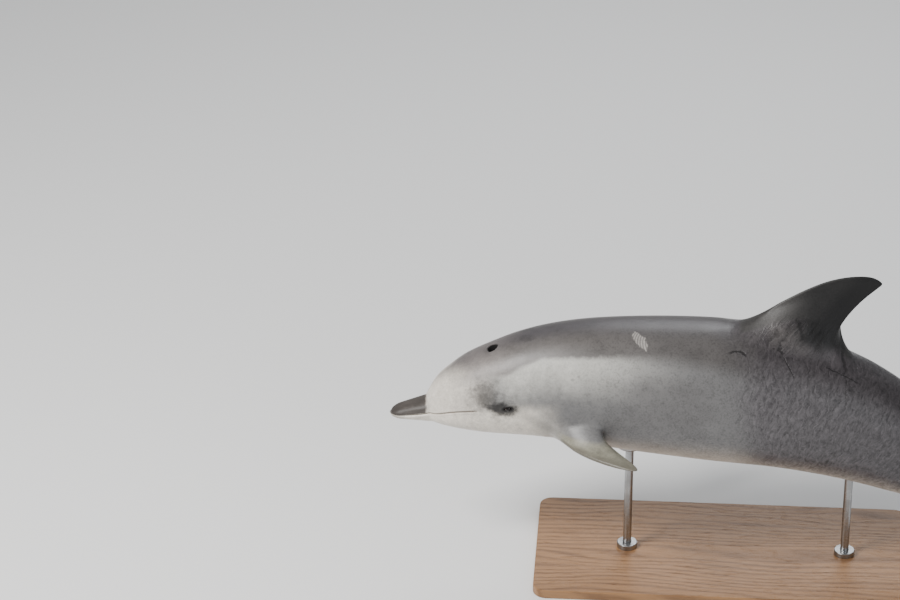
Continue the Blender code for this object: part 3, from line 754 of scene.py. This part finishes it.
def oval_mark(place, half_length, middle, half_height, lean=0):
    """0 in the middle of an oval and 1 on its rim, lower by lean degrees per station towards the rear."""
    along = s - place
    return ((along / half_length) ** 2 + ((a - middle + along * lean) / half_height) ** 2) ** 0.5


# Belly, flank and cape: grey above, a pale blaze under the cape's edge, cream below
coat.tone = coat.mix(step(a + 24 * broad, -62, -14), BELLY, LOW_FLANK)
blaze = step(s + 0.05 * broad, 0.125, 0.175) * step(s + 0.05 * broad + 0.03 * cloud, 0.385, 0.215)
blaze = blaze * step(over_cape + 12 * cloud + 8 * broad, -48, -6)
paint(blaze, BLAZE)
middle = step(s + 0.04 * broad, 0.26, 0.33) * step(s + 0.04 * broad, 0.43, 0.37)
middle = middle * step(a + 14 * cloud, 50, 28) * step(a + 14 * cloud, -30, 5)
paint(middle * 0.6, MID_FLANK)
cape = step((over_cape + 5 * cloud + 5 * mottle) / (1 + 1.8 * step(s, 0.26, 0.36)), -3, 3)
cape_grey = coat.mix(step(s, 0.20, 0.36), CAPE, CAPE_REAR)
paint(cape, coat.mix(step(a + 8 * cloud, 70, 88), cape_grey, BACK_GREY))
edge = s + (a - 60) * 0.0003 + 0.05 * broad + 0.05 * cloud + 0.04 * mottle
rear = step(edge, 0.388, 0.455)
paint(rear, coat.mix(step(a + 14 * broad, 30, 72), REAR_LOW, REAR))
paint(step(a + 20 * broad, -24, -72) * rear, BELLY)

# Head: pale melon and jaw, grey forehead darker at the crown, dark beak
fore = step(s + 0.03 * broad, 0.19, 0.13) * step(a + 10 * cloud, 40, 62)
paint(fore, coat.mix(step(a + 8 * cloud, 58, 86), FOREHEAD, CROWN))
melon = s + 0.0012 * (a - 64).over(0) - 0.0001 * (a - 45) + 0.02 * cloud + 0.015 * broad
melon = step(melon, 0.124, 0.070)
paint(melon, MELON)
cheek = step(s + 0.03 * cloud, 0.150, 0.110) * step(a + 8 * cloud, 62, 44)
paint(cheek * 0.65, MELON)
jaw = step(s + 0.03 * cloud, 0.225, 0.160) * step(a + 8 * cloud, 20, 6)
paint(jaw, JAW)
beak = step(s + 0.010 * cloud, 0.0500, 0.0455) * step(over_mouth + 12 * ripple, -1, 8)
paint(beak * 0.94, BEAK_TOP)
paint(step(s + 0.01 * cloud, 0.026, 0.006) * 0.5, BEAK_TOP)
lip = step(abs(over_mouth) * (0.6 + 4 * s), 1.8, 0.4) * step(s, 0.1175, 0.112)
paint(lip * 0.75, LIP)

# Smoky marks: a lens round the eye, a smudge up the brow, a stripe to the flipper, a spot on the nape
stripe = abs(a - 10 + (s - 0.163) * 750 + 10 * cloud)
stripe = step(stripe, 12, 2) * step(s, 0.156, 0.172) * step(s, 0.214, 0.198)
paint(stripe * 0.22, SMOKE_AND_SHADE)
lens = oval_mark(0.1475, 0.0205, 14.6, 9.2, 265) + 1.4 * ripple
paint(step(lens, 1.20, 0.50) * 0.92, SMOKE_AND_SHADE)
brow = oval_mark(0.1300, 0.0240, 29, 19, 440) + 3.4 * ripple
paint(step(brow, 1.50, 0.05) * 0.68, SMOKE_AND_SHADE)
nape = oval_mark(0.184, 0.014, 82, 7) + 2.2 * ripple
paint(step(nape, 1, 0.2) * 0.35, SMOKE_AND_SHADE)

# Blowhole and the eye's rim, darkened with painted shade: a painted shadow on the skin in front of the
# blowhole, and near-black painted shade in the blowhole's pit and round the eye's sunken rim
# Painted shadow: darker skin in front of the blowhole
paint(step(hole, 2.2, 1) * step(s, 0.143, 0.138) * 0.3, SMOKE_AND_SHADE)
# Painted shade: near-black in the blowhole's pit
hole = step(hole + 0.3 * mottle, 1.12, 0.88)
paint(hole, PIT_SHADE)
# Painted shade: near-black round the eye's opening, where the socket sinks under the lids
rim = oval_mark(EYE_STATION, 0.0082, EYE_ANGLE, 3.6)
paint(step(rim, 1.20, 0.75) * 0.88, PIT_SHADE)

# Fins, by fields that run from 0 at the root to 1 at the rim
paint(step(on_dorsal, 0, 0.30), FIN_BASE)
# Painted wet sheen: a lighter band on the body at the dorsal fin's foot
foot = step(z + 0.25 * (x - 0.18) + 0.05 * cloud, 0.945, 0.890)
foot = foot * step(abs(x - 0.185), 0.085, 0.045)
paint(foot * step(a, 67, 76) * 0.8, FIN_FOOT_SHEEN)
dark_fin = step(x + 0.04 * cloud, 0.145, 0.265)
dark_fin = dark_fin * step(z + 0.30 * (x - 0.27) + 0.04 * cloud, 0.838, 0.885)
paint(dark_fin, FIN_FLANK)
trailing = step(x - 0.30 + (1 - z) * 0.8 + 0.04 * cloud, -0.010, 0.060) * dark_fin
paint(trailing * 0.9, FIN_TIP)
khaki = step(on_flipper + 0.15 * cloud, 0.02, 0.40) * step(abs(y) + 0.03 * cloud, 0.155, 0.215)
paint(khaki, FLIPPER)
paint(step(on_flipper + 0.50 * cloud + 0.3 * mottle, 0.70, 1) * 0.7, FLIPPER_EDGE)
paint(step(on_fluke, 0, 0.30) * step(a, -4, 4), REAR)
paint(step(on_fluke, 0.80, 1) * 0.5, FIN_TIP)

# Tooth rake: pale parallel lines in a leaf-shaped patch on the left of the back
along, around_back = s - 0.3093 + (a - 69.6) * 0.0008, (a - 69.6) / 9.2
leaf = abs(along / 0.0080) / (1 + 0.30 * around_back).over(0.3) + around_back ** 2
leaf = step(leaf + 1.2 * mottle, 1, 0.70) * left
teeth = ((s - 0.0034 * ((a - 68.6) / 8) ** 2) * 2050 + 2 * mottle).sine()
paint(leaf * (0.35 + 0.65 * step(teeth, -0.6, 0.3)) * 0.70, SCAR)


def line_mark(across, width, along, start, end):
    """A line: 1 where across is near 0, while along runs from start to end."""
    tip = (end - start) * 0.2
    inside = step(along, start, start + tip) * step(along, end, end - tip)
    return step(abs(across), width, 0.3 * width) * inside


# Scratches and small spots on the left, and painted shade in the folds at the dorsal fin's foot on both
# sides
cut = line_mark(a - 65 + 24000 * (s - 0.4190) ** 2 + 5 * mottle, 1.8, s, 0.4075, 0.4315)
cut = cut.over(line_mark(a - 71.6 + 310 * (s - 0.4582) + 4 * mottle, 1.2, s, 0.4575, 0.468))
cut = cut.over(line_mark(s - 0.4715 - (64 - a) * 0.00095 + 0.008 * mottle, 0.0011, a, 50, 68) * 0.8)
cut = cut.over(line_mark(a - 66.8 + 97 * (s - 0.5185) + 4 * mottle, 0.95, s, 0.513, 0.556))
cut = cut.over(line_mark(s - 0.5349 - (70.7 - a) * 0.00032 + 0.01 * mottle, 0.0010, a, 42, 72) * 0.6)
spots = oval_mark(0.2327, 0.0022, 38.8, 1.3).under(oval_mark(0.2398, 0.0018, 41.3, 1)) ** 2
cut = cut.over(step(spots, 1.6, 0.4) * 0.35) * left
# Painted shade: dark lines down the skin folds at the dorsal fin's foot, where shade falls in the creases
fold = line_mark(x - 0.206 - (0.945 - z) * 0.34 + 0.03 * mottle, 0.0110, z, 0.868, 0.950)
fold = fold.over(line_mark(x - 0.262 - (0.900 - z) * 0.30 + 0.03 * mottle, 0.0200, z, 0.828, 0.950))
fold = fold.over(line_mark(x - 0.352 - (0.840 - z) * 0.27 + 0.02 * mottle, 0.0070, z, 0.768, 0.835))
paint((cut * 0.75).over(fold * 0.65), SCRATCH_AND_CREASE_SHADE)

# Mottling: clouds and specks everywhere, dark flecks on cape and flank, wavy streaks round the rear,
# painted glints of wet skin from the flippers back, and a painted highlight on a crease by the dorsal fin's
# rear root
streak_place = coat.node("CombineXYZ", {}, {"X": s * 300 + 5 * cloud, "Y": a * 0.14 + 2 * cloud})
streak = coat.noise(streak_place, 1, 3, 0.6, 0.6) * rear * step(on_dorsal, 0.5, 0.1)
streak = streak * step(s, 0.92, 0.70)
flecks = step(speck + 0.5 * mottle, 0.07, 0.17) * step(s, 0.17, 0.28) * step(a, -25, 10)
shade = 1 + 0.45 * broad + 0.55 * cloud + 0.65 * mottle + 0.50 * speck + 0.30 * grain
# The extra specks from the flippers back are painted glints of the wet, rippled skin
shade = shade + 2.3 * streak - 0.24 * flecks + 0.7 * speck * step(s, 0.20, 0.30)
# Painted highlight: a pale patch on the crease by the dorsal fin's rear root
crease_highlight = oval_mark(0.523, 0.016, 77, 9) + 1.6 * ripple
shade = shade + 0.55 * step(crease_highlight, 1.2, 0.3)
shaded = coat.node("VectorMath", {"operation": "SCALE"}, {0: coat.tone, "Scale": shade})
dull = 0.6 * hole + 0.12 * step(on_dorsal, 0, 0.2) + 0.14 * beak
bumps = 0.0003 * speck + 0.0003 * grain + 0.0018 * streak - 0.001 * cut
coat.drive(Base_Color=shaded, Roughness=0.36 + 0.25 * cloud + 0.20 * speck + dull, Normal=coat.bump(bumps))
coat.put_on(hide)


# ---- Eyes
# Dark, glossy eyeballs behind the lids: a brown iris round a wide pupil, under a clear bulging cornea.
# Each is a turned surface about the axis that looks out of its socket.

EYE_RADIUS = 0.0150
EYE_DEPTH = 0.0128  # its centre below the skin
CORNEA_BULGE = 0.0010
CORNEA_TURN = 0.62  # radians from the axis to the cornea's edge
EYE_RINGS, EYE_AROUND = 48, 64


def skin_frame_at(place, turn):
    """A point of the plain skin on the right flank and the unit direction out of it."""
    centre, upward = spine_frame(np.array([place]))
    radius = plain_radius(np.array([place]), np.array([turn]))[0]
    direction = math.sin(turn) * upward[0] + math.cos(turn) * SIDE
    return centre[0] + direction * radius, direction


def eye_mesh(name, side):
    """A sphere about its own axis, plus a bulge that is a bell of the turn away from the axis."""
    centre, axis = skin_frame_at(EYE_STATION, math.radians(EYE_ANGLE))
    centre = centre - axis * EYE_DEPTH
    turn = np.linspace(0.02, math.pi - 0.02, EYE_RINGS)[:, None]
    about = np.linspace(0, 2 * math.pi, EYE_AROUND, endpoint=False)[None]
    radius = EYE_RADIUS + CORNEA_BULGE * bell(turn, CORNEA_TURN)
    across = unit(np.cross(axis, UP))
    up = np.cross(across, axis)
    points = (axis * np.cos(turn)[..., None] + across * (np.sin(turn) * np.cos(about))[..., None]
              + up * (np.sin(turn) * np.sin(about))[..., None]) * radius[..., None] + centre
    poles = np.stack([points[0].mean(0), points[-1].mean(0)])
    grid = np.concatenate([points.reshape(-1, 3), poles])
    faces = tube_faces(EYE_RINGS, EYE_AROUND)
    if side < 0:
        grid = grid * MIRROR
    else:
        faces = [block[:, ::-1] for block in faces]
    turns = np.append(np.broadcast_to(turn, (EYE_RINGS, EYE_AROUND)), [0, math.pi])
    return put_mesh(name, grid, faces, turn=turns)


IRIS = chart(20, 14, 12)
IRIS_FLECK = chart(38, 27, 21)
PUPIL = chart(6, 6, 8)
EYE_WHITE = chart(34, 28, 27)
glass = Finish("eyeball", Roughness=0.06, IOR=1.376, Coat_Weight=0.25, Coat_Roughness=0.02)
turn = glass.field("turn")
streaks = glass.noise(glass.place(), 900.0, 2.0)
iris = glass.mix(0.5 + streaks, IRIS, IRIS_FLECK)
iris = glass.mix(glass.step(turn + 0.05 * streaks, 0.24, 0.28), PUPIL, iris)
glass.drive(Base_Color=glass.mix(glass.step(turn, 0.50, 0.56), iris, EYE_WHITE))
for name, side in (("eye_ball_right", 1), ("eye_ball_left", -1)):
    ball = eye_mesh(name, side)
    glass.put_on(ball)
    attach(ball, "root")
    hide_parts(name.replace("ball_", ""))


# ---- Stand's board
# The base of a display stand in place of the water: a flat, oiled oak board with round corners and
# eased edges. It keeps its CAD solid, and its grain runs along the animal.

OAK_PALE = chart(150, 112, 76)
OAK_DARK = chart(96, 66, 42)
OAK_PORE = chart(52, 34, 21)
oak = Finish("oiled_oak", IOR=1.48)
at = oak.place()
sway = oak.noise(at, (0.9, 5.0, 5.0), 2.0)
across = oak.node("SeparateXYZ", {}, {"Vector": at}, "Y")
year = ((across * 34 + 9 * sway) * math.tau).sine() * 0.5 + 0.5
fibre = oak.noise(at, (7.0, 260.0, 260.0), 4.0, 0.7)
pore = oak.step(oak.noise(at, (24.0, 620.0, 620.0), 2.0), 0.10, 0.20)
ray = oak.noise(at, (3.0, 30.0, 30.0), 3.0)
wood = oak.mix(year ** 2.0 * 0.55 + 1.1 * fibre + 0.9 * ray, OAK_PALE, OAK_DARK)
wood = oak.mix(pore * (0.25 + 0.4 * year), wood, OAK_PORE)
oak.drive(Base_Color=wood, Roughness=0.42 + 0.35 * fibre + 0.15 * pore,
          Normal=oak.bump(0.0004 * fibre - 0.0003 * pore))
oak.put_on(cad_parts["stand_base"])


# ---- Rods, collars and saddles
# Two round steel rods, each standing in a collar on the board and carrying a saddle that follows the
# belly. All are turned and brushed, with their edges eased.

STEEL = chart(176, 177, 178)
STEEL_DULL = chart(134, 134, 135)
steel = Finish("brushed_steel", Metallic=1.0)
at = steel.place()
brushed = steel.noise(at, (25.0, 25.0, 2600.0), 3.0, 0.6)
handled = steel.noise(at, 22.0, 4.0, 0.6)
steel.drive(Base_Color=steel.mix(0.4 + 1.2 * brushed + 1.4 * handled, STEEL, STEEL_DULL),
            Roughness=0.30 + 0.30 * brushed + 0.25 * handled, Normal=steel.bump(0.00006 * brushed))

ROD_RADIUS = 0.0140
ROD_BORE = 0.0020  # hidden at both ends
ROD_FOOT = 0.0303  # 0.3 mm over the board
COLLAR = [(0.0143, 0), (0.0340, 0), (0.0340, 0.0165), (0.0325, 0.0180), (0.0143, 0.0180)]
SADDLE = [(0.0143, -0.020), (0.0223, -0.020), (0.0460, -0.006), (0.0520, 0), (0.0520, 0.040),
          (0.0430, 0.040), (0.0340, 0.040), (0.0240, 0.040), (0.0143, 0.040)]
EDGE = 0.0006  # half the width that rounds an edge off
BELLY_GAP, RING_GAP = 0.0004, 0.00005  # least drop from the belly, and between rings under it
AROUND = 64
TURN = np.linspace(0, 2 * math.pi, AROUND, endpoint=False)
belly_tree = BVHTree.FromObject(hide, bpy.context.evaluated_depsgraph_get())


def belly_heights(points):
    """Height of the belly over each point, by a ray straight up from under it."""
    hits = [belly_tree.ray_cast(Vector((x, y, 0.1)), Vector((0, 0, 1)))[0]
            for x, y in points[..., :2].reshape(-1, 2)]
    return np.reshape([hit.z for hit in hits], points.shape[:-1])


def turned(node, x, foot, outline):
    """Rings about a rod's axis through an outline's points (radius, height over foot), edges eased.

    Five points round each of the outline's corners round it off. Where the belly comes lower than a
    point, the point lies a hair under it instead, with each ring a little less than the one before.
    """
    corner = np.array(outline, float)
    before, after = np.roll(corner, 1, 0) - corner, np.roll(corner, -1, 0) - corner
    before /= np.linalg.norm(before, axis=1)[:, None]
    after /= np.linalg.norm(after, axis=1)[:, None]
    eased = [corner + 2 * EDGE * before, corner + EDGE * before, corner + EDGE * (before + after) / 4,
             corner + EDGE * after, corner + 2 * EDGE * after]
    radius, height = np.stack(eased, 1).reshape(-1, 2).T[..., None]
    points = np.stack([x + radius * np.cos(TURN), radius * np.sin(TURN), foot + height + 0 * TURN], -1)
    rings = len(points)
    drop = BELLY_GAP + RING_GAP * np.arange(rings, 0, -1)[:, None]
    points[..., 2] = np.minimum(points[..., 2], belly_heights(points) - drop)
    piece = put_mesh(node + "_turned", points.reshape(-1, 3), [ring_quads(rings, rings, AROUND)])
    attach(piece, "root")
    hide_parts(node)
    steel.put_on(piece)


for end, x, saddle_foot, rod_top in (("front", -0.3236, 0.4323, 0.4459), ("rear", 0.4078, 0.3555, 0.3504)):
    height = rod_top - ROD_FOOT
    rod = [(ROD_BORE, 0), (ROD_RADIUS, 0), (ROD_RADIUS, height), (ROD_BORE, height)]
    turned("stand_rod_" + end, x, ROD_FOOT, rod)
    turned("stand_collar_" + end, x, ROD_FOOT, COLLAR)
    turned("stand_saddle_" + end, x, saddle_foot, SADDLE)


# ---- Floor, lights and camera
# A pale studio: one wide floor, three soft square lamps, and an even grey light from all round. A long
# lens looks down on the left flank, and the tail runs out of its view.

floor = put_mesh("studio_floor", [(-60, -60, 0), (60, -60, 0), (60, 60, 0), (-60, 60, 0)], [[(0, 1, 2, 3)]])

CAMERA_AZIMUTH, CAMERA_ELEVATION = 4.0, 28.0
CAMERA_DISTANCE = 11.0
CAMERA_LENS = 135.0
AIM_STATION = 0.40  # the back there is the point that places the view
AIM_LEFT, AIM_ABOVE = 0.8865, 0.0802  # metres from that point to the view's axis

turn, tilt = math.radians(CAMERA_AZIMUTH), math.radians(CAMERA_ELEVATION)
backward = Vector((math.sin(turn) * math.cos(tilt), -math.cos(turn) * math.cos(tilt), math.sin(tilt)))
rightward = Vector((math.cos(turn), math.sin(turn), 0))
upward = backward.cross(rightward)
aim = Vector(skin_points(np.array([AIM_STATION]), np.array([[math.pi / 2]]))[0, 0])
camera = bpy.data.objects.new("camera", bpy.data.cameras.new("camera"))
bpy.context.scene.collection.objects.link(camera)
camera.data.lens = CAMERA_LENS
camera.data.sensor_width = 36.0
camera.data.clip_end = 200.0
camera.location = aim - rightward * AIM_LEFT + upward * AIM_ABOVE + backward * CAMERA_DISTANCE
camera.rotation_mode = "QUATERNION"
camera.rotation_quaternion = (-backward).to_track_quat("-Z", "Y")
bpy.context.scene.camera = camera


def add_lamp(name, place, target, size, power, colour):
    """A square soft box at a place, turned to its target."""
    lamp = bpy.data.objects.new(name, bpy.data.lights.new(name, "AREA"))
    bpy.context.scene.collection.objects.link(lamp)
    lamp.data.size = size
    lamp.data.energy = power
    lamp.data.color = colour
    lamp.location = place
    lamp.rotation_mode = "QUATERNION"
    lamp.rotation_quaternion = (Vector(target) - Vector(place)).to_track_quat("-Z", "Y")
    return lamp


add_lamp("key", (-4.2, -2.6, 5.2), (0, 0, 0.7), 2.2, 620, (1.0, 0.985, 0.96))
add_lamp("fill", (4.0, -5.0, 2.5), (0, 0, 0.6), 3.5, 80, (0.94, 0.97, 1.0))
add_lamp("rim", (0.5, 4.6, 4.8), (0, 0, 0.8), 2.8, 140, (0.96, 0.98, 1.0))
world = bpy.data.worlds.new("studio")
world.use_nodes = True
world.node_tree.nodes["Background"].inputs["Color"].default_value = (0.86, 0.88, 0.90, 1)
world.node_tree.nodes["Background"].inputs["Strength"].default_value = 0.42
bpy.context.scene.world = world
